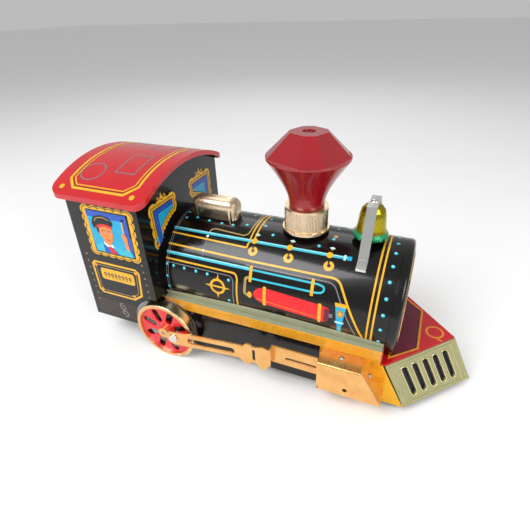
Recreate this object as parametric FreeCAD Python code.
import FreeCAD, Part
import math
import os

from FreeCAD import Vector

# Tin clockwork locomotive. Millimetres, +X forwards, +Y to the left, +Z up.
# The origin is on the floor, on the middle plane, straight below the driving axle.

# ---- driving dimensions ----------------------------------------------------
TIN = 0.5                    # thickness of the pressed tin sheet
SEAT_GAP = 0.1               # gap left where one curved sheet sits on another
FIT_GAP = 0.05               # radial running clearance of a shaft in a hole
PRESS_GAP = 0.02             # radial gap where a part is pressed on a shaft
FREE_GAP = 0.6               # least room left between pieces that pass each other

WHEEL_RADIUS = 22.0
WHEEL_WIDTH = 6.5
WHEEL_FACE_Y = 47.5          # outer face of the driving wheel's rim
WHEEL_WEB = 1.0
WEB_SHARE = 0.78             # web's outer face, as a share of the rim's width
WHEEL_HOLES = 8
HUB_RADIUS = 4.0
HUB_PROUD = 1.4              # hub beyond the rim's outer face
AXLE_RADIUS = 1.5
CRANK_RADIUS = 9.0           # crank pin from the axle
PIN_RADIUS = 1.6
PIN_BOSS_RADIUS = 3.0
ROD_SHEET = 1.0
ROD_JOGGLE = 4.0             # how far the rod's front bar is set inwards
ROD_EYE_RADIUS = 5.5
ROD_BAR_HEIGHT = 13.0
ROD_SLOT_RADIUS = 2.2        # long slot in the rod's blade
ROD_TONGUE_HEIGHT = 2.0
ROD_TONGUE_LENGTH = 24.0
ROD_NECK_X = 78.0            # where the rod steps inwards

CAB_REAR = -61.5             # rear wall's foot
CAB_REAR_LEAN = 6.5          # rear wall's top ahead of its foot
CAB_FRONT = -2.5
CAB_HALF_WIDTH = 45.5
CAB_BOTTOM = 20.0
CAB_CORNER = 2.5
ARCH_GAP = 2.5               # cab side clear of the wheel's rim
ROOF_REAR = -64.5
ROOF_FRONT = 4.0
ROOF_OVERHANG = 2.0            # roof past the cab walls on each side
ROOF_RADIUS = 93.0
ROOF_CROWN = 127.0           # height of the roof's crown
ROOF_LIP = 3.0
ROOF_CORNER = 7.0

BOARD_TOP = 44.0
BOARD_HALF_WIDTH = 37.2
BOARD_LIP = 7.5
FLANGE_RISE = 7.0            # upturned flange beside the boiler, at its middle
FLANGE_BOW = 850.0           # radius of the flange's bowed top edge
BOARD_FRONT = 138.5
SKIRT_BOTTOM = 5.0
SKIRT_REAR = -19.0
SPLASHER_RADIUS = 17.5       # embossed arch in the skirt behind the wheel
SPLASHER_BEAD = 1.0

BOILER_RADIUS = 35.3
BOILER_AXIS_Z = 56.0
CAP_DEPTH = 5.2
CAP_EDGE = 2.5
CAP_RING_RADII = (28.0, 14.0)
CAP_RING_PROUD = 0.8

DECK_TOP = 35.0
PILOT_REACH = 35.5           # apex ahead of the pilot's corners
PILOT_RAKE = 15.0            # how far the foot stands ahead of the top
PILOT_BOTTOM = 5.0
PILOT_SHEET = 0.8
PILOT_SLOTS = 5
SLOT_WIDTH = 3.4
SLOT_MARGIN = 7.0            # panel left plain at each end of the row of slots
SLOT_LOW = 0.24              # slot's ends, as shares of the way up the panel
SLOT_HIGH = 0.78

CASING_REAR = 106.0
CASING_TOP_LENGTH = 24.0
CASING_BOTTOM_LENGTH = 37.0
CASING_DEPTH = 12.8          # outwards from the apron
CASING_BOTTOM = 14.4
CASING_CORNER = 6.0
APRON_OVERLAP = 2.0          # apron behind the casing's rear edge

DOME_X = 22.7
DOME_LENGTH = 32.0
DOME_WIDTH = 12.5
DOME_HEIGHT = 12.2           # above the boiler's top
DOME_SHEET = 1.0
DOME_NOSE = 9.0              # radius of the dome's front shoulder

STACK_X = 82.0
COLLAR_RADIUS = 12.5
COLLAR_HEIGHT = 15.9         # above the boiler's top
COLLAR_FLANGE = 1.3
COLLAR_LIFT = 1.4            # flange's underside above the boiler's top
COLLAR_FOOT_RADIUS = 9.0
COLLAR_WALL = 1.6
STACK_NECK_RADIUS = 10.0
STACK_WAIST_RADIUS = 23.2
STACK_WAIST_RISE = 28.5      # waist above the collar's top
STACK_RISE = 41.0            # top face above the collar's top
STACK_TOP_RADIUS = 10.4
STACK_WALL = 2.0
STACK_WIDE_FACET = 56.0      # degrees round the stack; the facets between are narrower
STACK_TURN = -70.0           # middle of one narrow facet, degrees from +X
STACK_SCREW_RADIUS = 1.5
SCREW_HEAD_RADIUS = 3.0

BELL_X = 119.5
BELL_RADIUS = 9.6
BELL_LIFT = 3.0              # bell's mouth above the boiler's top
BELL_WALL = 0.8
BRACKET_TOP_HALF = 8.1
BRACKET_FOOT_HALF = 18.0
BRACKET_RISE = 23.2          # strap's top above the boiler's top
BRACKET_WIDTH = 5.4
BRACKET_SHEET = 1.0
RIVET_RADIUS = 1.2

PLATE_HALF_GAP = 16.0        # motor plates' inner faces from the middle plane
PLATE_SHEET = 0.8
WINDING_X = -33.0
WINDING_Z = 48.0
ARBOR_RADIUS = 2.5
SMALL_ARBOR_RADIUS = 1.2
PILLAR_RADIUS = 2.0
GREAT_MODULE = 0.8
GREAT_TEETH = 52
SECOND_PINION_TEETH = 12
DRIVE_MODULE = 0.7
SECOND_TEETH = 48
AXLE_PINION_TEETH = 12
GOVERNOR_TEETH = 10
GEAR_SHEET = 2.0
PINION_WIDTH = 3.2
RATCHET_TEETH = 16
RATCHET_RADIUS = 7.0
RATCHET_DEPTH = 1.4
RATCHET_SHEET = 1.5
SPRING_SHEET = 0.45
SPRING_WIDTH = 13.0
SPRING_PITCH = 1.6
SPRING_TURNS = 8
GOVERNOR_FLY_RADIUS = 7.0
KEY_SPAN = 28.0
KEY_DEPTH = 12.0
KEY_SHEET = 1.6
KEY_HUB_RADIUS = 4.2
KEY_HUB_LENGTH = 5.0

FRONT_WHEEL_RADIUS = 10.0
FRONT_WHEEL_WIDTH = 4.0
FRONT_WHEEL_INSET = 4.0      # front wheel's face inside the skirt
FRONT_AXLE_X = 118.0

# ---- worked-out sizes ------------------------------------------------------
AXLE_Z = WHEEL_RADIUS
BOILER_TOP = BOILER_AXIS_Z + BOILER_RADIUS
LIP_BOTTOM = BOARD_TOP - BOARD_LIP
LIP_INNER_Y = BOARD_HALF_WIDTH - TIN
SKIRT_INNER_Y = LIP_INNER_Y - TIN
ROOF_HALF_WIDTH = CAB_HALF_WIDTH + ROOF_OVERHANG
ROOF_AXIS_Z = ROOF_CROWN - ROOF_RADIUS
RISER_FRONT = BOARD_FRONT + SEAT_GAP + TIN
CAP_REAR = RISER_FRONT + SEAT_GAP
CAP_FRONT = CAP_REAR + CAP_DEPTH
PILOT_CORNER = RISER_FRONT + 1.8
ARCH_RADIUS = WHEEL_RADIUS + ARCH_GAP
WHEEL_BACK_Y = WHEEL_FACE_Y - WHEEL_WIDTH
WEB_OUTER_Y = WHEEL_BACK_Y + WEB_SHARE * WHEEL_WIDTH
HUB_TIP_Y = WHEEL_FACE_Y + HUB_PROUD
ROD_INNER_Y = HUB_TIP_Y + FREE_GAP
ROD_OUTER_Y = ROD_INNER_Y + ROD_SHEET
BAR_INNER_Y = ROD_INNER_Y - ROD_JOGGLE
BAR_OUTER_Y = BAR_INNER_Y + ROD_SHEET
CASING_OUTER_Y = BOARD_HALF_WIDTH + CASING_DEPTH
CASING_TOP = LIP_BOTTOM - SEAT_GAP
TONGUE_Z = 0.5 * (CASING_TOP + CASING_BOTTOM)
ROD_BAR_Z = TONGUE_Z + 4.0
ROD_BAR_END = CASING_REAR - FREE_GAP
COLLAR_TOP = BOILER_TOP + COLLAR_HEIGHT
STACK_WAIST_Z = COLLAR_TOP + STACK_WAIST_RISE
STACK_TOP = COLLAR_TOP + STACK_RISE
PLATE_OUTER_Y = PLATE_HALF_GAP + PLATE_SHEET
GREAT_Y = 2.0
RATCHET_Y = GREAT_Y + GEAR_SHEET + 0.5
SECOND_Y = RATCHET_Y + RATCHET_SHEET + 2.5
SPRING_Y = -PLATE_HALF_GAP + 1.2
FLY_Y = -6.0
KEY_Y = CAB_HALF_WIDTH + 1.2
HOLE_RADIUS = PIN_RADIUS + FIT_GAP
SIDES = {"right": -1, "left": 1}


def pitch_radius(teeth, module):
    """Pitch radius of a gear."""
    return 0.5 * teeth * module


def meet(first, first_radius, second, second_radius):
    """Point at the given distances from two points, on the upper side."""
    dx = second[0] - first[0]
    dz = second[1] - first[1]
    span = math.hypot(dx, dz)
    along = (first_radius ** 2 - second_radius ** 2 + span ** 2) / (2.0 * span)
    off = math.sqrt(first_radius ** 2 - along ** 2)
    return (first[0] + (along * dx - off * dz) / span, first[1] + (along * dz + off * dx) / span)


WINDING = (WINDING_X, WINDING_Z)
AXLE = (0.0, AXLE_Z)
GREAT_PITCH = pitch_radius(GREAT_TEETH, GREAT_MODULE)
FIRST_REACH = GREAT_PITCH + pitch_radius(SECOND_PINION_TEETH, GREAT_MODULE)
SECOND_PITCH = pitch_radius(SECOND_TEETH, DRIVE_MODULE)
SECOND_REACH = SECOND_PITCH + pitch_radius(AXLE_PINION_TEETH, DRIVE_MODULE)
SECOND = meet(AXLE, SECOND_REACH, WINDING, FIRST_REACH)
if SECOND[1] < 0.5 * (AXLE_Z + WINDING_Z):
    SECOND = meet(WINDING, FIRST_REACH, AXLE, SECOND_REACH)
GOVERNOR_ANGLE = math.pi / 2.0
GOVERNOR_REACH = SECOND_PITCH + pitch_radius(GOVERNOR_TEETH, DRIVE_MODULE)
GOVERNOR = (SECOND[0] + GOVERNOR_REACH * math.cos(GOVERNOR_ANGLE),
            SECOND[1] + GOVERNOR_REACH * math.sin(GOVERNOR_ANGLE))
GREAT_TIP = GREAT_PITCH + GREAT_MODULE
PILLAR_OFF = 0.93 * GREAT_TIP + PILLAR_RADIUS
PILLARS = (
    (WINDING_X - 0.72 * PILLAR_OFF, WINDING_Z + PILLAR_OFF),
    (WINDING_X - 0.72 * PILLAR_OFF, WINDING_Z - PILLAR_OFF),
    (WINDING_X + 0.92 * PILLAR_OFF, WINDING_Z + PILLAR_OFF + 1.5),
    (SECOND[0] - 0.35 * SECOND_PITCH, SECOND[1] - SECOND_PITCH - DRIVE_MODULE - PILLAR_RADIUS - 1.2),
)


# ---- solids ----------------------------------------------------------------
def block(x0, x1, y0, y1, z0, z1):
    """Box between two corners."""
    return Part.makeBox(x1 - x0, y1 - y0, z1 - z0, Vector(x0, y0, z0))


def rod_y(centre, radius, y0, y1):
    """Cylinder along Y about a point in the XZ plane."""
    return Part.makeCylinder(radius, y1 - y0, Vector(centre[0], y0, centre[1]), Vector(0, 1, 0))


def rod_x(centre, radius, x0, x1):
    """Cylinder along X about a point in the YZ plane."""
    return Part.makeCylinder(radius, x1 - x0, Vector(x0, centre[0], centre[1]), Vector(1, 0, 0))


def rod_z(centre, radius, z0, z1):
    """Cylinder along Z about a point in the XY plane."""
    return Part.makeCylinder(radius, z1 - z0, Vector(centre[0], centre[1], z0), Vector(0, 0, 1))


def face_of(points):
    """Flat face inside a closed run of points."""
    return Part.Face(Part.makePolygon(list(points) + [points[0]]))


def slab_y(outline, y0, y1):
    """Outline in XZ, thickened from y0 to y1."""
    return face_of([Vector(x, y0, z) for x, z in outline]).extrude(Vector(0, y1 - y0, 0))


def slab_x(outline, x0, x1):
    """Outline in YZ, thickened from x0 to x1."""
    return face_of([Vector(x0, y, z) for y, z in outline]).extrude(Vector(x1 - x0, 0, 0))


def slab_z(outline, z0, z1):
    """Outline in XY, thickened from z0 to z1."""
    return face_of([Vector(x, y, z0) for x, y in outline]).extrude(Vector(0, 0, z1 - z0))


def turned_z(outline, x, y=0.0):
    """Outline of (radius, height), turned about a vertical line."""
    face = face_of([Vector(x + r, y, z) for r, z in outline])
    return face.revolve(Vector(x, y, 0), Vector(0, 0, 1), 360)


def turned_x(outline, z):
    """Outline of (place along X, radius), turned about a line along X at height z."""
    face = face_of([Vector(x, 0, z + r) for x, r in outline])
    return face.revolve(Vector(0, 0, z), Vector(1, 0, 0), 360)


def joined(shapes):
    """One solid made of several."""
    whole = shapes[0].multiFuse(shapes[1:])
    return whole.removeSplitter()


def rounded(shape, radius, chosen):
    """Fillet the edges that a test on their middle point and direction picks."""
    edges = []
    for edge in shape.Edges:
        box = edge.BoundBox
        if chosen(box.Center, Vector(box.XLength, box.YLength, box.ZLength)):
            edges.append(edge)
    return shape.makeFillet(radius, edges)


def sided(shape, side):
    """The shape as modelled on the right, or its mirror image on the left."""
    if side == SIDES["right"]:
        return shape
    return shape.mirror(Vector(0, 0, 0), Vector(0, 1, 0))


def slot_solid(start, end, radius, y0, y1):
    """Round-ended slot between two points in XZ, from y0 to y1."""
    dx = end[0] - start[0]
    dz = end[1] - start[1]
    span = math.hypot(dx, dz)
    nx = -dz / span * radius
    nz = dx / span * radius
    outline = [(start[0] + nx, start[1] + nz), (end[0] + nx, end[1] + nz),
               (end[0] - nx, end[1] - nz), (start[0] - nx, start[1] - nz)]
    return joined([slab_y(outline, y0, y1), rod_y(start, radius, y0, y1), rod_y(end, radius, y0, y1)])


# ---- gears -----------------------------------------------------------------
def gear(centre, teeth, module, y0, y1, tooth_angle, bore):
    """Spur gear along Y with a tooth centred on tooth_angle (radians, from +X towards +Z)."""
    pitch = pitch_radius(teeth, module)
    step = 2.0 * math.pi / teeth
    marks = ((-0.31, -1.15), (-0.2, 0.0), (-0.09, 0.85), (0.09, 0.85), (0.2, 0.0), (0.31, -1.15))
    outline = []
    for tooth in range(teeth):
        middle = tooth_angle + tooth * step
        for share, rise in marks:
            angle = middle + share * step
            radius = pitch + rise * module
            outline.append((centre[0] + radius * math.cos(angle), centre[1] + radius * math.sin(angle)))
    return slab_y(outline, y0, y1).cut(rod_y(centre, bore, y0 - 1, y1 + 1))


def line_angle(start, end):
    """Angle of the line from one point to another."""
    return math.atan2(end[1] - start[1], end[0] - start[0])


def meshing_angle(start, teeth, end, other_teeth, tooth_angle):
    """Tooth angle of the second gear so that it meshes with the first."""
    line = line_angle(start, end)
    step = 2.0 * math.pi / teeth
    offset = (tooth_angle - line) % step
    return line + math.pi - offset * teeth / other_teeth + math.pi / other_teeth


# ---- body ------------------------------------------------------------------
def running_board():
    """Footplate with its turned-down edges and the motor's opening."""
    rear = CAB_REAR + CAB_REAR_LEAN * (BOARD_TOP - CAB_BOTTOM) / (ROOF_CROWN - CAB_BOTTOM) + CAB_CORNER
    plate = block(rear, BOARD_FRONT, -BOARD_HALF_WIDTH, BOARD_HALF_WIDTH, BOARD_TOP - TIN, BOARD_TOP)
    motor = [x for x, z in plate_outline()]
    motor += [WINDING_X - GREAT_TIP, SECOND[0] + SECOND_PITCH + DRIVE_MODULE]
    opening_half = PLATE_OUTER_Y + FREE_GAP
    opening = block(min(motor) - FREE_GAP, max(motor) + FREE_GAP, -opening_half, opening_half,
                    BOARD_TOP - 2, BOARD_TOP + 2)
    pieces = [plate.cut(opening)]
    for side in SIDES.values():
        lip = block(CAB_FRONT, BOARD_FRONT, LIP_INNER_Y, BOARD_HALF_WIDTH, LIP_BOTTOM, BOARD_TOP - TIN)
        arch = rod_y(AXLE, SPLASHER_RADIUS + SPLASHER_BEAD + SEAT_GAP, 0, BOARD_HALF_WIDTH + 1)
        pieces.append(sided(lip.cut(arch), -side))
    inner = BOILER_RADIUS + SEAT_GAP
    flange = rod_x((0, BOILER_AXIS_Z), inner + TIN, CAB_FRONT + FREE_GAP, BOARD_FRONT)
    flange = flange.cut(rod_x((0, BOILER_AXIS_Z), inner, CAB_FRONT, BOARD_FRONT + 1))
    flange = flange.common(block(CAB_FRONT, BOARD_FRONT, -BOARD_HALF_WIDTH, BOARD_HALF_WIDTH,
                                 BOARD_TOP - TIN, BOARD_TOP + FLANGE_RISE))
    middle = 0.5 * (CAB_FRONT + BOARD_FRONT)
    bow = rod_y((middle, BOARD_TOP + FLANGE_RISE - FLANGE_BOW), FLANGE_BOW, -BOARD_HALF_WIDTH,
                BOARD_HALF_WIDTH)
    return joined(pieces + [flange.common(bow)])


def side_skirt(side):
    """Black side plate below the footplate, which carries the front axle."""
    top = BOARD_TOP - TIN - SEAT_GAP
    outline = [(SKIRT_REAR, CAB_BOTTOM), (SKIRT_REAR + 8, SKIRT_BOTTOM + 6), (SKIRT_REAR + 14, SKIRT_BOTTOM),
               (BOARD_FRONT, SKIRT_BOTTOM), (BOARD_FRONT, top), (SKIRT_REAR, top)]
    plate = slab_y(outline, -LIP_INNER_Y, -SKIRT_INNER_Y)
    bead = rod_y(AXLE, SPLASHER_RADIUS + SPLASHER_BEAD, -BOARD_HALF_WIDTH, -LIP_INNER_Y)
    bead = bead.cut(rod_y(AXLE, SPLASHER_RADIUS, -BOARD_HALF_WIDTH - 1, 0))
    bead = bead.common(slab_y(outline, -BOARD_HALF_WIDTH, -LIP_INNER_Y))
    plate = joined([plate] + bead.Solids)
    plate = plate.cut(rod_y(AXLE, AXLE_RADIUS + FREE_GAP, -BOARD_HALF_WIDTH - 1, 0))
    front_hole = rod_y((FRONT_AXLE_X, FRONT_WHEEL_RADIUS), AXLE_RADIUS + FIT_GAP, -BOARD_HALF_WIDTH, 0)
    return sided(plate.cut(front_hole), side)


def apron(side):
    """Gold side plate behind the cylinder casing, up to the pilot's corner."""
    rear = CASING_REAR - APRON_OVERLAP
    outline = [(rear, CASING_TOP), (rear, CASING_BOTTOM - 1), (rear + 8, PILOT_BOTTOM),
               (PILOT_CORNER + PILOT_RAKE - PILOT_SHEET, PILOT_BOTTOM),
               (PILOT_CORNER - PILOT_SHEET, DECK_TOP - PILOT_SHEET - SEAT_GAP),
               (BOARD_FRONT, DECK_TOP - PILOT_SHEET - SEAT_GAP), (BOARD_FRONT, CASING_TOP)]
    plate = slab_y(outline, -BOARD_HALF_WIDTH, -LIP_INNER_Y)
    return sided(plate, side)


def casing_outline(inset):
    """Side view of the cylinder casing, drawn in by inset."""
    slope = (CASING_BOTTOM_LENGTH - CASING_TOP_LENGTH) / (CASING_TOP - CASING_BOTTOM)
    lean = inset * math.sqrt(1 + slope ** 2)
    top_front = CASING_REAR + CASING_TOP_LENGTH - lean + slope * inset
    bottom_front = CASING_REAR + CASING_BOTTOM_LENGTH - lean - slope * inset
    return [(CASING_REAR - 2 * inset, CASING_TOP - inset), (top_front, CASING_TOP - inset),
            (bottom_front, CASING_BOTTOM + inset), (CASING_REAR - 2 * inset, CASING_BOTTOM + inset)]


def cylinder_casing(side):
    """Pressed cover of the steam cylinder, open behind for the rod."""
    outer = slab_y(casing_outline(0), -CASING_OUTER_Y, -BOARD_HALF_WIDTH)
    mid_x = CASING_REAR + 0.5 * CASING_TOP_LENGTH
    outer = rounded(outer, 1.6, lambda c, s: abs(c.y + CASING_OUTER_Y) < 0.01 and c.x > mid_x - 1)
    inner = slab_y(casing_outline(TIN), -CASING_OUTER_Y + TIN, -BOARD_HALF_WIDTH + 1)
    shell = outer.cut(inner)
    corner = block(CASING_REAR - 1, CASING_REAR + CASING_CORNER, -CASING_OUTER_Y - 1,
                   -CASING_OUTER_Y + TIN, CASING_BOTTOM - 1, CASING_BOTTOM + CASING_CORNER)
    keep = rod_y((CASING_REAR + CASING_CORNER, CASING_BOTTOM + CASING_CORNER), CASING_CORNER,
                 -CASING_OUTER_Y - 2, -CASING_OUTER_Y + TIN + 1)
    shell = shell.cut(corner.cut(keep))
    hole_at = (CASING_REAR + 0.45 * CASING_BOTTOM_LENGTH, CASING_BOTTOM + 6.0)
    shell = shell.cut(rod_y(hole_at, 1.3, -CASING_OUTER_Y - 1, -CASING_OUTER_Y + TIN + 1))
    for place, axis in casing_screw_places():
        shell = shell.cut(Part.makeCylinder(1.0 + PRESS_GAP, 4.0, place - axis * 3.0, axis))
    return sided(shell, side)


def casing_screw_places():
    """Head seats and directions of the two screws of a casing, on the right side."""
    slope = (CASING_BOTTOM_LENGTH - CASING_TOP_LENGTH) / (CASING_TOP - CASING_BOTTOM)
    normal = Vector(1, 0, slope).normalize()
    down = 0.35 * (CASING_TOP - CASING_BOTTOM)
    screw_y = -BOARD_HALF_WIDTH - 0.35 * CASING_DEPTH
    top = Vector(CASING_REAR + 0.5 * CASING_TOP_LENGTH, screw_y, CASING_TOP)
    front = Vector(CASING_REAR + CASING_TOP_LENGTH + slope * down, screw_y, CASING_TOP - down)
    return ((top, Vector(0, 0, 1)), (front, normal))


def casing_screws():
    """The four small screws of both casings."""
    screws = []
    for side in SIDES.values():
        for place, axis in casing_screw_places():
            head = Part.makeSphere(1.7, place - axis * 0.75)
            lift = Part.makeBox(6, 6, 6, Vector(-3, -3, 0))
            lift.Placement = FreeCAD.Placement(place, FreeCAD.Rotation(Vector(0, 0, 1), axis),
                                               Vector(0, 0, 0))
            shank = Part.makeCylinder(1.0, 2.5, place - axis * 2.5, axis)
            screws.append(sided(joined([head.common(lift), shank]), side))
    return Part.makeCompound(screws)


def pilot_prism(inset, z0, z1):
    """Raked V-shaped block of the pilot, drawn in by inset, between two heights."""
    def ring(z):
        """Plan of the pilot at one height."""
        forward = PILOT_CORNER + PILOT_RAKE * (DECK_TOP - z) / (DECK_TOP - PILOT_BOTTOM) - 1.6 * inset
        half = BOARD_HALF_WIDTH - inset
        reach = PILOT_REACH * half / BOARD_HALF_WIDTH
        rear = RISER_FRONT
        points = [(rear, -half), (forward, -half), (forward + reach, 0), (forward, half), (rear, half)]
        return Part.makePolygon([Vector(x, y, z) for x, y in points + [points[0]]])
    return Part.makeLoft([ring(z0), ring(z1)], True, True)


def pilot_grille():
    """Two raked and slotted front panels, folded at the apex and turned round the corners."""
    drop = DECK_TOP - PILOT_BOTTOM
    outer = pilot_prism(0, PILOT_BOTTOM, DECK_TOP - PILOT_SHEET)
    inner = pilot_prism(PILOT_SHEET, PILOT_BOTTOM - 1, DECK_TOP + 1)
    shell = outer.cut(inner)
    behind = slab_y([(RISER_FRONT - 1, PILOT_BOTTOM - 2),
                     (PILOT_CORNER + PILOT_RAKE * (1 + 2 / drop), PILOT_BOTTOM - 2),
                     (PILOT_CORNER - PILOT_RAKE * 2 / drop, DECK_TOP + 2),
                     (RISER_FRONT - 1, DECK_TOP + 2)], -BOARD_HALF_WIDTH - 1, BOARD_HALF_WIDTH + 1)
    shell = shell.cut(behind)
    length = math.hypot(PILOT_REACH, BOARD_HALF_WIDTH)
    pitch = (length - 2.0 * SLOT_MARGIN) / PILOT_SLOTS
    for side in SIDES.values():
        for number in range(PILOT_SLOTS):
            shell = shell.cut(pilot_slot(SLOT_MARGIN + (number + 0.5) * pitch, side))
    return shell


def pilot_slot(along, side):
    """Cutter for one slot, along mm from the pilot's corner and square to its panel."""
    drop = DECK_TOP - PILOT_BOTTOM
    length = math.hypot(PILOT_REACH, BOARD_HALF_WIDTH)
    across = Vector(PILOT_REACH / length, -side * BOARD_HALF_WIDTH / length, 0)
    upright = Vector(-PILOT_RAKE, 0, drop)
    normal = upright.cross(across).normalize()
    foot = Vector(PILOT_CORNER + PILOT_RAKE, side * BOARD_HALF_WIDTH, PILOT_BOTTOM) + across * along
    radius = 0.5 * SLOT_WIDTH
    low = foot + upright * SLOT_LOW + normal * -4.0
    high = foot + upright * SLOT_HIGH + normal * -4.0
    sideways = normal.cross(upright).normalize() * radius
    core = face_of([low + sideways, high + sideways, high - sideways, low - sideways]).extrude(normal * 8.0)
    ends = [Part.makeCylinder(radius, 8.0, end, normal) for end in (low, high)]
    return joined([core] + ends)


def pilot_deck():
    """Red V-shaped deck of the pilot with the riser at its back."""
    half = BOARD_HALF_WIDTH
    outline = [(RISER_FRONT - TIN, -half), (PILOT_CORNER, -half), (PILOT_CORNER + PILOT_REACH, 0),
               (PILOT_CORNER, half), (RISER_FRONT - TIN, half)]
    deck = slab_z(outline, DECK_TOP - PILOT_SHEET + SEAT_GAP * 0.5, DECK_TOP)
    riser = block(RISER_FRONT - TIN, RISER_FRONT, -half, half, DECK_TOP, BOARD_TOP)
    return joined([deck, riser])


def boiler_shell():
    """Boiler barrel above the footplate."""
    x0 = CAB_FRONT + SEAT_GAP
    x1 = CAP_REAR - SEAT_GAP
    tube = rod_x((0, BOILER_AXIS_Z), BOILER_RADIUS, x0, x1)
    tube = tube.cut(rod_x((0, BOILER_AXIS_Z), BOILER_RADIUS - TIN, x0 - 1, x1 + 1))
    keep = block(x0 - 1, x1 + 1, -BOILER_RADIUS - 1, BOILER_RADIUS + 1, BOARD_TOP, BOILER_TOP + 1)
    shell = tube.common(keep)
    collar_hole = rod_z((STACK_X, 0), STACK_SCREW_RADIUS + 0.5, BOILER_AXIS_Z, BOILER_TOP + 1)
    return shell.cut(collar_hole)


def boiler_cap():
    """Round front of the boiler with two pressed rings."""
    radius = BOILER_RADIUS
    turn = CAP_EDGE
    steps = 6
    outer = [(CAP_REAR, radius)]
    for step in range(steps + 1):
        angle = 0.5 * math.pi * step / steps
        outer.append((CAP_FRONT - turn + turn * math.sin(angle), radius - turn + turn * math.cos(angle)))
    outline = outer + [(CAP_FRONT, 0), (CAP_FRONT - TIN, 0), (CAP_FRONT - TIN, radius - turn),
                       (CAP_FRONT - turn, radius - TIN), (CAP_REAR, radius - TIN)]
    cap = turned_x(outline, BOILER_AXIS_Z)
    pieces = [cap]
    for ring in CAP_RING_RADII:
        bead = [(CAP_FRONT - 0.2, ring - 1.3), (CAP_FRONT + CAP_RING_PROUD, ring - 0.6),
                (CAP_FRONT + CAP_RING_PROUD, ring + 0.6), (CAP_FRONT - 0.2, ring + 1.3)]
        pieces.append(turned_x(bead, BOILER_AXIS_Z))
    keep = block(CAP_REAR - 1, CAP_FRONT + 3, -radius - 1, radius + 1, DECK_TOP + SEAT_GAP, BOILER_TOP + 1)
    return joined(pieces).common(keep)


def roof_outer(drop, inset):
    """Arched block of the roof, drawn in by inset and drop mm thick."""
    x0 = ROOF_REAR + inset
    x1 = ROOF_FRONT - inset
    half = ROOF_HALF_WIDTH - inset
    arch = rod_x((0, ROOF_AXIS_Z), ROOF_RADIUS - inset, x0, x1)
    arch = arch.cut(rod_x((0, ROOF_AXIS_Z), ROOF_RADIUS - drop, x0 - 1, x1 + 1))
    plan = block(x0, x1, -half, half, ROOF_AXIS_Z + 0.3 * ROOF_RADIUS, ROOF_CROWN + 1)
    plan = rounded(plan, ROOF_CORNER - inset, lambda c, s: s.z > 10 and s.x < 0.01 and s.y < 0.01)
    return arch.common(plan)


def cab_roof():
    """Arched roof with rounded corners and a turned-down lip."""
    return roof_outer(ROOF_LIP, 0).cut(roof_outer(ROOF_LIP + 2, TIN))


def under_roof(x0, x1):
    """Everything below the roof's sheet, between two places along X."""
    arch = rod_x((0, ROOF_AXIS_Z), ROOF_RADIUS - TIN - SEAT_GAP, x0, x1)
    return arch.common(block(x0, x1, -ROOF_HALF_WIDTH, ROOF_HALF_WIDTH, 0, ROOF_CROWN))


def cab_block(inset, front, below):
    """Block of the cab with its leaning back, drawn in by inset."""
    rise = ROOF_CROWN + 1 - CAB_BOTTOM
    slope = CAB_REAR_LEAN / rise
    low = CAB_BOTTOM - below
    outline = [(CAB_REAR + inset - slope * below, low), (front, low), (front, ROOF_CROWN + 1),
               (CAB_REAR + inset + CAB_REAR_LEAN, ROOF_CROWN + 1)]
    return slab_y(outline, -CAB_HALF_WIDTH + inset, CAB_HALF_WIDTH - inset)


def cab_sides():
    """Both side walls and the back of the cab, bent from one sheet."""
    half = CAB_HALF_WIDTH
    walls = cab_block(0, CAB_FRONT, 0)
    walls = rounded(walls, CAB_CORNER, lambda c, s: c.x < CAB_REAR + CAB_REAR_LEAN and s.z > 50)
    inner = cab_block(TIN, CAB_FRONT + 1, 1)
    inner = rounded(inner, CAB_CORNER - TIN, lambda c, s: c.x < CAB_REAR + CAB_REAR_LEAN and s.z > 50)
    walls = walls.cut(inner)
    walls = walls.common(under_roof(CAB_REAR - 1, CAB_FRONT + 1))
    walls = walls.cut(rod_y(AXLE, ARCH_RADIUS, -half - 1, half + 1))
    return walls.cut(rod_y(WINDING, ARBOR_RADIUS + FREE_GAP, 0, half + 1))


def cab_front():
    """Front wall of the cab, open inside the boiler."""
    half = CAB_HALF_WIDTH - TIN - SEAT_GAP
    x0 = CAB_FRONT - TIN
    wall = block(x0, CAB_FRONT, -half, half, BOARD_TOP, ROOF_CROWN).common(under_roof(x0, CAB_FRONT))
    wall = wall.cut(rod_x((0, BOILER_AXIS_Z), BOILER_RADIUS - 5.0, x0 - 1, CAB_FRONT + 1))
    arch = rod_y(AXLE, ARCH_RADIUS, -half - 1, half + 1)
    arch = arch.cut(block(-60, 60, -BOARD_HALF_WIDTH, BOARD_HALF_WIDTH, 0, 100))
    return wall.cut(arch)


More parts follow.
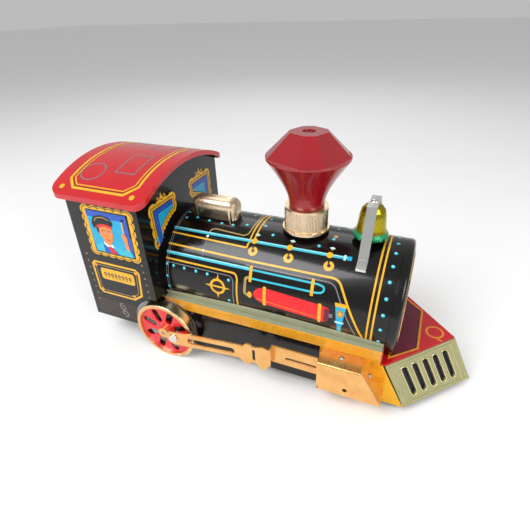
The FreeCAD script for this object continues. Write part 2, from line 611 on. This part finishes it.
def sand_dome():
    """Rounded oblong dome behind the stack, hollow below."""
    def loaf(inset):
        """Rounded loaf drawn in by inset."""
        shape = block(DOME_X - 0.5 * DOME_LENGTH + inset, DOME_X + 0.5 * DOME_LENGTH - inset,
                      -0.5 * DOME_WIDTH + inset, 0.5 * DOME_WIDTH - inset,
                      BOILER_AXIS_Z, BOILER_TOP + DOME_HEIGHT - inset)
        corner = 0.42 * DOME_WIDTH - inset
        shape = rounded(shape, corner, lambda c, s: s.z > 10 and s.x < 0.01)
        top = shape.BoundBox.ZMax
        shape = rounded(shape, 0.38 * DOME_WIDTH - inset, lambda c, s: abs(c.z - top) < 0.01)
        nose = block(DOME_X - DOME_LENGTH, DOME_X + 0.5 * DOME_LENGTH - inset,
                     -DOME_WIDTH, DOME_WIDTH, BOILER_AXIS_Z - 1, top)
        nose = rounded(nose, DOME_NOSE - inset, lambda c, s: c.x > DOME_X and abs(c.z - top) < 0.01
                       and s.x < 0.01)
        return shape.common(nose)
    shell = loaf(0).cut(loaf(DOME_SHEET))
    return shell.cut(rod_x((0, BOILER_AXIS_Z), BOILER_RADIUS + SEAT_GAP, DOME_X - DOME_LENGTH,
                           DOME_X + DOME_LENGTH))


def stack_collar():
    """Collar of the stack: flat flange, and below it a narrower foot that follows the boiler."""
    boiler = rod_x((0, BOILER_AXIS_Z), BOILER_RADIUS + SEAT_GAP, STACK_X - 30, STACK_X + 30)
    seat = BOILER_TOP + COLLAR_LIFT
    centre = (STACK_X, 0)
    tube = rod_z(centre, COLLAR_RADIUS, seat, COLLAR_TOP)
    flange = rod_z(centre, COLLAR_RADIUS + COLLAR_FLANGE, seat, seat + COLLAR_FLANGE)
    foot = rod_z(centre, COLLAR_FOOT_RADIUS, BOILER_AXIS_Z, seat + COLLAR_WALL)
    collar = joined([tube, flange])
    collar = collar.cut(rod_z(centre, COLLAR_RADIUS - COLLAR_WALL, seat + COLLAR_WALL,
                              COLLAR_TOP - COLLAR_WALL))
    collar = joined([collar, foot])
    collar = collar.cut(rod_z(centre, COLLAR_FOOT_RADIUS - COLLAR_WALL, 0, COLLAR_TOP - COLLAR_WALL))
    collar = collar.cut(boiler)
    return collar.cut(rod_z((STACK_X, 0), STACK_SCREW_RADIUS + PRESS_GAP, 0, COLLAR_TOP + 1))


def facet_ring(radius, z):
    """Ring of the stack's facets at one height: four wide ones with narrow ones between."""
    narrow = 90.0 - STACK_WIDE_FACET
    points = []
    for quarter in range(4):
        for turn in (-0.5 * narrow, 0.5 * narrow):
            angle = math.radians(STACK_TURN + 90.0 * quarter + turn)
            points.append(Vector(STACK_X + radius * math.cos(angle), radius * math.sin(angle), z))
    return Part.makePolygon(points + [points[0]])


def flare(neck, waist, z0, z1):
    """Outline points of a concave trumpet from the neck out to the waist."""
    points = []
    for step in range(9):
        share = step / 8.0
        points.append((neck + (waist - neck) * (1 - math.cos(0.5 * math.pi * share)) ** 0.9,
                       z0 + (z1 - z0) * share))
    return points


def diamond_stack():
    """Faceted diamond stack of moulded plastic, hollow inside."""
    rim = 1.2
    base = COLLAR_TOP + SEAT_GAP
    lower = flare(STACK_NECK_RADIUS, STACK_WAIST_RADIUS, base, STACK_WAIST_Z - rim)
    outline = [(0, base)] + lower + [(STACK_WAIST_RADIUS, STACK_WAIST_Z), (0, STACK_WAIST_Z)]
    bottom = turned_z(outline, STACK_X)
    top = Part.makeLoft([facet_ring(STACK_WAIST_RADIUS, STACK_WAIST_Z),
                         facet_ring(STACK_TOP_RADIUS, STACK_TOP)], True, True)
    body = joined([bottom, top])
    wall = STACK_WALL
    hollow = flare(STACK_NECK_RADIUS - wall, STACK_WAIST_RADIUS - 2 * wall, base - 1,
                   STACK_WAIST_Z - wall)
    cavity = [(0, base - 1)] + hollow + [(STACK_TOP_RADIUS - wall, STACK_TOP - 5.5), (0, STACK_TOP - 5.5)]
    body = body.cut(turned_z(cavity, STACK_X))
    body = body.cut(rod_z((STACK_X, 0), SCREW_HEAD_RADIUS + 0.5, STACK_TOP - 3.0, STACK_TOP + 1))
    return body.cut(rod_z((STACK_X, 0), STACK_SCREW_RADIUS + PRESS_GAP, STACK_TOP - 9, STACK_TOP))


def stack_screw():
    """Long screw that holds the stack and its collar to the boiler."""
    seat = STACK_TOP - 3.0
    shank = rod_z((STACK_X, 0), STACK_SCREW_RADIUS, BOILER_TOP - 8.0, seat)
    head = rod_z((STACK_X, 0), SCREW_HEAD_RADIUS, seat, seat + 1.8)
    slot = block(STACK_X - 4, STACK_X + 4, -0.35, 0.35, seat + 1.0, seat + 3)
    return joined([shank, head]).cut(slot)


def bell_curve(low, high, wall):
    """Points of the bell's wall from crown to rim, wall mm in from the outside."""
    rise = high - low
    shares = ((0.30, 0.985), (0.50, 0.93), (0.66, 0.83), (0.74, 0.68), (0.78, 0.48), (0.82, 0.28),
              (0.90, 0.16), (1.0, 0.10), (1.0, 0.0))
    points = []
    for across, up in shares:
        points.append((BELL_RADIUS * across - wall, low + rise * up - (wall if up > 0.8 else 0)))
    return points


def bell():
    """Bell that hangs from its strap, its mouth just above the boiler."""
    low = BOILER_TOP + BELL_LIFT
    high = BOILER_TOP + BRACKET_RISE - BRACKET_SHEET - SEAT_GAP
    outline = [(0, high)] + bell_curve(low, high, 0)
    outline += list(reversed(bell_curve(low, high, BELL_WALL))) + [(0, high - 1.5)]
    body = turned_z(outline, BELL_X)
    return body.cut(rod_z((BELL_X, 0), RIVET_RADIUS + PRESS_GAP, BOILER_TOP, high + 1))


def bell_bracket():
    """Bright strap over the bell, with feet on the boiler."""
    top = BOILER_TOP + BRACKET_RISE
    low = BOILER_AXIS_Z + 10
    reach = BRACKET_FOOT_HALF
    foot_z = BOILER_AXIS_Z + math.sqrt(BOILER_RADIUS ** 2 - reach ** 2)
    spread = (reach - BRACKET_TOP_HALF) / (top - foot_z)
    far = reach + spread * (foot_z - low)
    sheet = BRACKET_SHEET * math.sqrt(1 + spread ** 2)
    half = BRACKET_TOP_HALF
    outline = [(-far, low), (-half, top), (half, top), (far, low), (far - sheet, low),
               (half - sheet + spread, top - BRACKET_SHEET), (-half + sheet - spread, top - BRACKET_SHEET),
               (-far + sheet, low)]
    x0 = BELL_X - 0.5 * BRACKET_WIDTH
    x1 = BELL_X + 0.5 * BRACKET_WIDTH
    strap = slab_x(outline, x0, x1)
    band = rod_x((0, BOILER_AXIS_Z), BOILER_RADIUS + SEAT_GAP + 0.8, x0, x1)
    tab = block(x0, x1, -reach - 4.5, reach + 4.5, low, top).common(band)
    tab = tab.cut(block(x0 - 1, x1 + 1, -reach + 0.5, reach - 0.5, low - 1, top + 1))
    strap = joined([strap] + tab.Solids)
    strap = strap.cut(rod_x((0, BOILER_AXIS_Z), BOILER_RADIUS + SEAT_GAP, x0 - 1, x1 + 1))
    return strap.cut(rod_z((BELL_X, 0), RIVET_RADIUS + PRESS_GAP, top - 3, top + 1))


def bell_rivet():
    """Rivet through the strap into the bell."""
    top = BOILER_TOP + BRACKET_RISE
    shank = rod_z((BELL_X, 0), RIVET_RADIUS, top - BRACKET_SHEET - 5.0, top)
    head = Part.makeSphere(2.0 * RIVET_RADIUS, Vector(BELL_X, 0, top - RIVET_RADIUS))
    head = head.common(rod_z((BELL_X, 0), 3, top, top + 3))
    return joined([shank, head])


# ---- running gear ----------------------------------------------------------
def drive_wheel(side):
    """Pressed driving wheel with punched openings."""
    rim = rod_y(AXLE, WHEEL_RADIUS, -WHEEL_FACE_Y, -WHEEL_BACK_Y)
    rim = rounded(rim, 0.6, lambda c, s: s.y < 0.01)
    rim = rim.cut(rod_y(AXLE, WHEEL_RADIUS - 2.6, -WHEEL_FACE_Y - 1, -WHEEL_BACK_Y + 1))
    web = rod_y(AXLE, WHEEL_RADIUS - 2.0, -WEB_OUTER_Y, -WEB_OUTER_Y + WHEEL_WEB)
    step = 360.0 / WHEEL_HOLES
    near = HUB_RADIUS + 5.6
    far = WHEEL_RADIUS - 6.6
    for number in range(WHEEL_HOLES):
        hole = slot_solid((near, AXLE_Z), (far, AXLE_Z), 2.4, -WEB_OUTER_Y - 1,
                          -WEB_OUTER_Y + WHEEL_WEB + 1)
        hole.rotate(Vector(0, 0, AXLE_Z), Vector(0, 1, 0), (number + 0.5) * step)
        web = web.cut(hole)
    hub = rod_y(AXLE, HUB_RADIUS, -HUB_TIP_Y, -WHEEL_BACK_Y)
    wheel = joined([rim, web, hub])
    wheel = wheel.cut(rod_y(AXLE, AXLE_RADIUS + PRESS_GAP, -HUB_TIP_Y - 1, 0))
    return sided(wheel.cut(rod_y((CRANK_RADIUS, AXLE_Z), PIN_RADIUS + PRESS_GAP, -60, 0)), side)


def crank_pin(side):
    """Riveted crank pin with its boss and head."""
    centre = (CRANK_RADIUS, AXLE_Z)
    back = -WEB_OUTER_Y + WHEEL_WEB
    shank = rod_y(centre, PIN_RADIUS, -ROD_OUTER_Y - FIT_GAP - 1.3, back)
    boss = rod_y(centre, PIN_BOSS_RADIUS, -ROD_INNER_Y + FIT_GAP, -WEB_OUTER_Y - 0.01)
    head = rod_y(centre, PIN_RADIUS + 1.5, -ROD_OUTER_Y - FIT_GAP - 1.3, -ROD_OUTER_Y - FIT_GAP)
    head = rounded(head, 0.8, lambda c, s: abs(c.y + ROD_OUTER_Y + FIT_GAP + 1.3) < 0.01)
    return sided(joined([shank, boss, head]), side)


def drive_axle():
    """Driving axle."""
    return rod_y(AXLE, AXLE_RADIUS, -HUB_TIP_Y + 0.2, HUB_TIP_Y - 0.2)


def connecting_rod(side):
    """Stamped connecting rod: eye, slotted blade, strap head, joggle, bar and tongue."""
    eye = (CRANK_RADIUS, AXLE_Z)
    rise = (ROD_BAR_Z - AXLE_Z) / (ROD_NECK_X - CRANK_RADIUS)

    def line(x):
        """Height of the rod's middle line at one place."""
        return AXLE_Z + rise * (x - CRANK_RADIUS)

    head = ROD_NECK_X - 12.0
    half = 0.5 * ROD_BAR_HEIGHT
    blade = [(eye[0], line(eye[0]) + ROD_EYE_RADIUS), (head - 6, line(head) + 0.8 * half),
             (head - 4, line(head) + 1.2 * half), (head - 1, line(head) + 1.2 * half),
             (head, line(head) + half), (head + 2.5, line(head) + half),
             (head + 7, line(head) + 1.25 * half),
             (ROD_NECK_X, line(head + 6) + half), (ROD_NECK_X, line(head + 6) - 0.9 * half),
             (head + 7, line(head) - 1.75 * half), (head + 2.5, line(head) - half),
             (head, line(head) - half), (head - 3, line(head) - 1.55 * half),
             (head - 9, line(head) - 0.9 * half), (eye[0], line(eye[0]) - ROD_EYE_RADIUS)]
    blade_solid = slab_y(blade, -ROD_OUTER_Y, -ROD_INNER_Y)
    ring = rod_y(eye, ROD_EYE_RADIUS, -ROD_OUTER_Y, -ROD_INNER_Y)
    low = ROD_BAR_Z - half
    high = ROD_BAR_Z + half
    step = block(ROD_NECK_X - ROD_SHEET, ROD_NECK_X, -ROD_OUTER_Y, -BAR_INNER_Y, low, high)
    bar = block(ROD_NECK_X - ROD_SHEET, ROD_BAR_END, -BAR_OUTER_Y, -BAR_INNER_Y, low, high)
    tongue = block(ROD_BAR_END - 2, ROD_BAR_END + ROD_TONGUE_LENGTH, -BAR_OUTER_Y, -BAR_INNER_Y,
                   TONGUE_Z - 0.5 * ROD_TONGUE_HEIGHT, TONGUE_Z + 0.5 * ROD_TONGUE_HEIGHT)
    rod = joined([blade_solid, ring, step, bar, tongue])
    first = eye[0] + 13.0
    last = head - 14.0
    rod = rod.cut(slot_solid((first, line(first)), (last, line(last)), ROD_SLOT_RADIUS, -60, -40))
    rod = rod.cut(slot_solid((head + 1.2, line(head) - 3.6), (head + 1.2, line(head) + 3.6), 0.9,
                             -60, -48))
    rod = rod.cut(slot_solid((ROD_NECK_X + 9, ROD_BAR_Z - 1), (ROD_BAR_END - 1.6, ROD_BAR_Z - 1), 1.1,
                             -60, -40))
    return sided(rod.cut(rod_y(eye, HOLE_RADIUS, -60, -40)), side)


def front_axle():
    """Short axle of the small front wheels, carried by the skirts."""
    end = LIP_INNER_Y - 0.05
    return rod_y((FRONT_AXLE_X, FRONT_WHEEL_RADIUS), AXLE_RADIUS, -end, end)


def front_wheel(side):
    """Small plain front wheel."""
    centre = (FRONT_AXLE_X, FRONT_WHEEL_RADIUS)
    outer = -SKIRT_INNER_Y + FRONT_WHEEL_INSET
    wheel = rod_y(centre, FRONT_WHEEL_RADIUS, outer, outer + FRONT_WHEEL_WIDTH)
    wheel = rounded(wheel, 0.5, lambda c, s: s.y < 0.01)
    wheel = wheel.cut(rod_y(centre, FRONT_WHEEL_RADIUS - 2.0, outer - 1, outer + 1.2))
    return sided(wheel.cut(rod_y(centre, AXLE_RADIUS + PRESS_GAP, outer - 2, 0)), side)


# ---- clockwork -------------------------------------------------------------
def plate_outline():
    """Side view of a motor plate around its arbors and pillars."""
    pad = PILLAR_RADIUS + 2.5
    rear_top, rear_low, front_top, low = PILLARS
    return [(rear_low[0] - pad, rear_low[1] - pad), (low[0] - pad, low[1] - pad), (AXLE[0] + 2, AXLE_Z - 7),
            (AXLE[0] + 6.5, AXLE_Z - 2), (AXLE[0] + 6.5, AXLE_Z + 5),
            (max(GOVERNOR[0], front_top[0]) + pad, GOVERNOR[1] - 2),
            (max(GOVERNOR[0], front_top[0]) + pad, front_top[1] + pad),
            (rear_top[0] - pad, front_top[1] + pad)]


def motor_plate(side):
    """Clockwork side plate with feet that stand on the footplate."""
    plate = slab_y(plate_outline(), -PLATE_OUTER_Y, -PLATE_HALF_GAP)
    for x in (PILLARS[0][0], PILLARS[0][0] + 30.0):
        foot = block(x, x + 8, -PLATE_OUTER_Y - 5.5, -PLATE_OUTER_Y, BOARD_TOP, BOARD_TOP + PLATE_SHEET)
        plate = plate.fuse(foot)
    for centre, radius in ((WINDING, ARBOR_RADIUS), (AXLE, AXLE_RADIUS), (SECOND, SMALL_ARBOR_RADIUS),
                           (GOVERNOR, SMALL_ARBOR_RADIUS)):
        plate = plate.cut(rod_y(centre, radius + FIT_GAP, -PLATE_OUTER_Y - 1, 0))
    for centre in PILLARS:
        plate = plate.cut(rod_y(centre, PILLAR_RADIUS - 0.7 + PRESS_GAP, -PLATE_OUTER_Y - 1, 0))
    return sided(plate.removeSplitter(), side)


def motor_pillars():
    """Four shouldered pillars between the motor plates."""
    pillars = []
    for centre in PILLARS:
        body = rod_y(centre, PILLAR_RADIUS, -PLATE_HALF_GAP, PLATE_HALF_GAP)
        end = PLATE_OUTER_Y + 0.8
        pillars.append(joined([body, rod_y(centre, PILLAR_RADIUS - 0.7, -end, end)]))
    return Part.makeCompound(pillars)


def mainspring():
    """Spiral spring of half turns, with its tail hooked behind a pillar."""
    y0 = SPRING_Y
    y1 = SPRING_Y + SPRING_WIDTH
    inner = ARBOR_RADIUS + 1.5
    pieces = []
    for half_turn in range(2 * SPRING_TURNS):
        radius = inner + 0.5 * SPRING_PITCH * half_turn
        upper = half_turn % 2 == 0
        x = WINDING_X + (0.0 if upper else 0.5 * SPRING_PITCH)
        ring = rod_y((x, WINDING_Z), radius + 0.5 * SPRING_SHEET, y0, y1)
        ring = ring.cut(rod_y((x, WINDING_Z), radius - 0.5 * SPRING_SHEET, y0 - 1, y1 + 1))
        low = WINDING_Z if upper else WINDING_Z - 60
        pieces.append(ring.common(block(x - 60, x + 60, y0 - 1, y1 + 1, low, low + 60)))
    return joined(pieces)


def winding_arbor():
    """Arbor that the key turns."""
    return rod_y(WINDING, ARBOR_RADIUS, -PLATE_OUTER_Y - 0.8, KEY_Y + KEY_HUB_LENGTH - 1.0)


def ratchet_wheel():
    """Saw-toothed wheel on the winding arbor."""
    outline = []
    step = 2.0 * math.pi / RATCHET_TEETH
    for tooth in range(RATCHET_TEETH):
        for share, radius in ((0.0, RATCHET_RADIUS), (0.08, RATCHET_RADIUS - RATCHET_DEPTH)):
            angle = (tooth + share) * step
            outline.append((WINDING_X + radius * math.cos(angle), WINDING_Z + radius * math.sin(angle)))
    wheel = slab_y(outline, RATCHET_Y, RATCHET_Y + RATCHET_SHEET)
    return wheel.cut(rod_y(WINDING, ARBOR_RADIUS + PRESS_GAP, RATCHET_Y - 1, RATCHET_Y + RATCHET_SHEET + 1))


CLICK_PIVOT = (WINDING_X + RATCHET_RADIUS + 3.6, WINDING_Z - 7.5)


def click():
    """Pawl on the great wheel that holds the ratchet."""
    tip = (WINDING_X + RATCHET_RADIUS + 0.35, WINDING_Z + 0.25)
    outline = [(CLICK_PIVOT[0] - 1.5, CLICK_PIVOT[1]), (tip[0], tip[1] - 1.2), tip,
               (tip[0] + 1.6, tip[1] - 0.4), (CLICK_PIVOT[0] + 1.6, CLICK_PIVOT[1])]
    y1 = RATCHET_Y + RATCHET_SHEET
    body = joined([slab_y(outline, RATCHET_Y, y1), rod_y(CLICK_PIVOT, 2.2, RATCHET_Y, y1)])
    return body.cut(rod_y(CLICK_PIVOT, 0.9 + FIT_GAP, RATCHET_Y - 1, y1 + 1))


def great_wheel():
    """First wheel of the train with the click's pivot post."""
    angle = line_angle(WINDING, SECOND)
    wheel = gear(WINDING, GREAT_TEETH, GREAT_MODULE, GREAT_Y, GREAT_Y + GEAR_SHEET, angle,
                 ARBOR_RADIUS + FIT_GAP)
    for number in range(5):
        turn = angle + math.pi * (2 * number + 1.2) / 5.0
        spot = (WINDING_X + 0.62 * GREAT_PITCH * math.cos(turn),
                WINDING_Z + 0.62 * GREAT_PITCH * math.sin(turn))
        if math.hypot(spot[0] - CLICK_PIVOT[0], spot[1] - CLICK_PIVOT[1]) > 6.0:
            wheel = wheel.cut(rod_y(spot, 0.17 * GREAT_PITCH, GREAT_Y - 1, GREAT_Y + GEAR_SHEET + 1))
    post = rod_y(CLICK_PIVOT, 0.9, GREAT_Y + 0.5, RATCHET_Y + RATCHET_SHEET + 0.4)
    return joined([wheel, post])


def second_arbor():
    """Arbor of the second wheel."""
    return rod_y(SECOND, SMALL_ARBOR_RADIUS, -PLATE_OUTER_Y - 0.5, PLATE_OUTER_Y + 0.5)


def second_pinion():
    """Pinion driven by the great wheel."""
    angle = meshing_angle(WINDING, GREAT_TEETH, SECOND, SECOND_PINION_TEETH, line_angle(WINDING, SECOND))
    middle = GREAT_Y + 0.5 * GEAR_SHEET
    return gear(SECOND, SECOND_PINION_TEETH, GREAT_MODULE, middle - 0.5 * PINION_WIDTH,
                middle + 0.5 * PINION_WIDTH, angle, SMALL_ARBOR_RADIUS + PRESS_GAP)


def second_wheel():
    """Second wheel, which drives the axle and the governor."""
    return gear(SECOND, SECOND_TEETH, DRIVE_MODULE, SECOND_Y, SECOND_Y + GEAR_SHEET,
                line_angle(SECOND, AXLE), SMALL_ARBOR_RADIUS + PRESS_GAP)


def axle_pinion():
    """Pinion on the driving axle."""
    angle = meshing_angle(SECOND, SECOND_TEETH, AXLE, AXLE_PINION_TEETH, line_angle(SECOND, AXLE))
    middle = SECOND_Y + 0.5 * GEAR_SHEET
    return gear(AXLE, AXLE_PINION_TEETH, DRIVE_MODULE, middle - 0.5 * PINION_WIDTH,
                middle + 0.5 * PINION_WIDTH, angle, AXLE_RADIUS + PRESS_GAP)


def governor_pinion():
    """Pinion of the governor."""
    angle = meshing_angle(SECOND, SECOND_TEETH, GOVERNOR, GOVERNOR_TEETH, line_angle(SECOND, AXLE))
    middle = SECOND_Y + 0.5 * GEAR_SHEET
    return gear(GOVERNOR, GOVERNOR_TEETH, DRIVE_MODULE, middle - 0.5 * PINION_WIDTH,
                middle + 0.5 * PINION_WIDTH, angle, SMALL_ARBOR_RADIUS + PRESS_GAP)


def governor_arbor():
    """Arbor of the governor."""
    return rod_y(GOVERNOR, SMALL_ARBOR_RADIUS, -PLATE_OUTER_Y - 0.5, PLATE_OUTER_Y + 0.5)


def governor_fly():
    """Two-lobed fly that slows the train."""
    reach = GOVERNOR_FLY_RADIUS
    blade = slot_solid((GOVERNOR[0] - reach + 2.2, GOVERNOR[1]), (GOVERNOR[0] + reach - 2.2, GOVERNOR[1]),
                       2.2, FLY_Y, FLY_Y + 3.0)
    return blade.cut(rod_y(GOVERNOR, SMALL_ARBOR_RADIUS + PRESS_GAP, FLY_Y - 1, FLY_Y + 4))


def winding_key():
    """Butterfly key on the end of the winding arbor."""
    hub = rod_y(WINDING, KEY_HUB_RADIUS, KEY_Y, KEY_Y + KEY_HUB_LENGTH)
    y0 = KEY_Y + KEY_HUB_LENGTH - 1.0
    y1 = y0 + KEY_DEPTH
    half = 0.5 * KEY_SPAN
    z0 = WINDING_Z - 0.5 * KEY_SHEET
    z1 = WINDING_Z + 0.5 * KEY_SHEET
    wing = block(WINDING_X - half, WINDING_X + half, y0, y1, z0, z1)
    wing = rounded(wing, 0.45 * KEY_DEPTH, lambda c, s: s.z > 1 and s.x < 0.01 and s.y < 0.01)
    for turn in (-1, 1):
        wing = wing.cut(rod_z((WINDING_X + turn * 0.58 * half, 0.5 * (y0 + y1)), 0.2 * KEY_DEPTH,
                              z0 - 1, z1 + 1))
    bore = rod_y(WINDING, ARBOR_RADIUS + PRESS_GAP, KEY_Y - 1, KEY_Y + KEY_HUB_LENGTH - 1.0)
    return joined([hub, wing]).cut(bore)


# ---- output ----------------------------------------------------------------
def nodes():
    """Every piece by its node's name."""
    pieces = {
        "running_board": running_board(),
        "casing_screws": casing_screws(),
        "pilot_grille": pilot_grille(),
        "pilot_deck": pilot_deck(),
        "boiler_shell": boiler_shell(),
        "boiler_cap": boiler_cap(),
        "cab_roof": cab_roof(),
        "cab_sides": cab_sides(),
        "cab_front": cab_front(),
        "sand_dome": sand_dome(),
        "stack_collar": stack_collar(),
        "diamond_stack": diamond_stack(),
        "stack_screw": stack_screw(),
        "bell": bell(),
        "bell_bracket": bell_bracket(),
        "bell_rivet": bell_rivet(),
        "drive_axle": drive_axle(),
        "axle_pinion": axle_pinion(),
        "front_axle": front_axle(),
        "motor_pillars": motor_pillars(),
        "mainspring": mainspring(),
        "winding_arbor": winding_arbor(),
        "ratchet_wheel": ratchet_wheel(),
        "click": click(),
        "great_wheel": great_wheel(),
        "second_arbor": second_arbor(),
        "second_pinion": second_pinion(),
        "second_wheel": second_wheel(),
        "governor_arbor": governor_arbor(),
        "governor_pinion": governor_pinion(),
        "governor_fly": governor_fly(),
        "winding_key": winding_key(),
    }
    for word, side in SIDES.items():
        pieces["side_skirt_" + word] = side_skirt(side)
        pieces["apron_" + word] = apron(side)
        pieces["cylinder_casing_" + word] = cylinder_casing(side)
        pieces["drive_wheel_" + word] = drive_wheel(side)
        pieces["crank_pin_" + word] = crank_pin(side)
        pieces["connecting_rod_" + word] = connecting_rod(side)
        pieces["front_wheel_" + word] = front_wheel(side)
        pieces["motor_plate_" + word] = motor_plate(side)
    return pieces


os.makedirs("parts", exist_ok=True)
for name, shape in nodes().items():
    shape.exportStep("parts/" + name + ".step")
    print(name, len(shape.Solids), round(shape.Volume, 1), shape.isValid())
